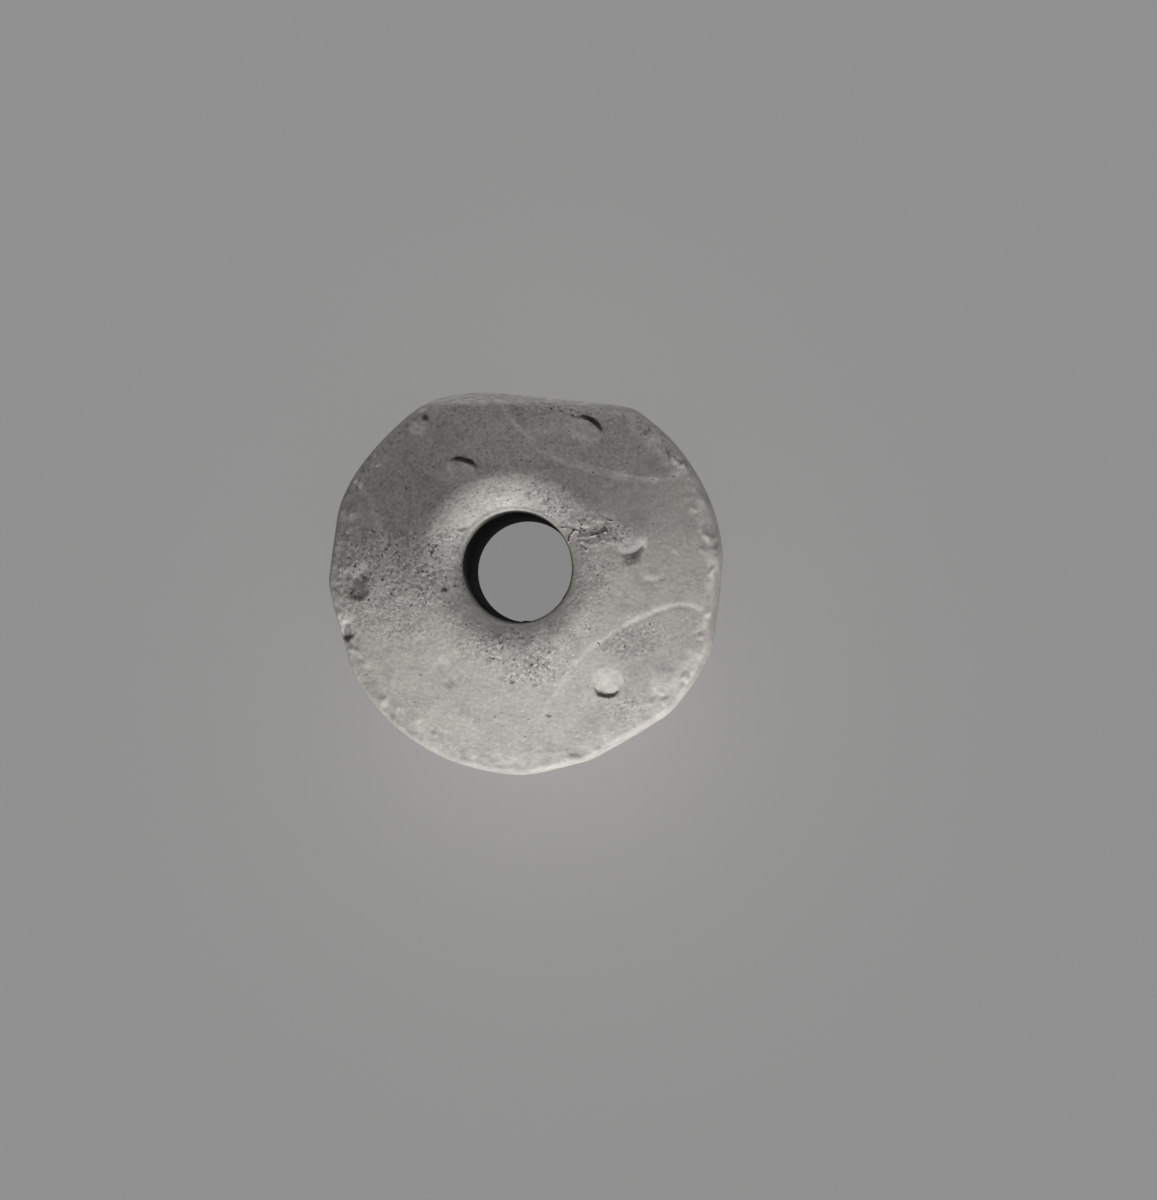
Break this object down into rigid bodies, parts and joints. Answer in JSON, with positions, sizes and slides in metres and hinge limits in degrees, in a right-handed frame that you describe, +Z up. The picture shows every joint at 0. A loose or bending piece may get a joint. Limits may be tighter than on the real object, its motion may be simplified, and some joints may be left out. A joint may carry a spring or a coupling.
{
  "type": "clay spindle whorl",
  "caption": "Fired-clay spindle whorl, a biconical weight with a dished crown, incised arcs and stabs, a worn rim and a bore for the spindle.",
  "frame": {"origin": "middle of the outer box, on the plane of the flat base", "axes": "+Z up along the bore out of the decorated crown, +X to the right and +Y to the top of the picture"},
  "size_m": [0.035, 0.034, 0.02],
  "materials": {
    "fired_clay": "burnished, worn matte"
  },
  "bodies": {
    "root": {"whorl": "fired_clay"}
  },
  "joints": []
}
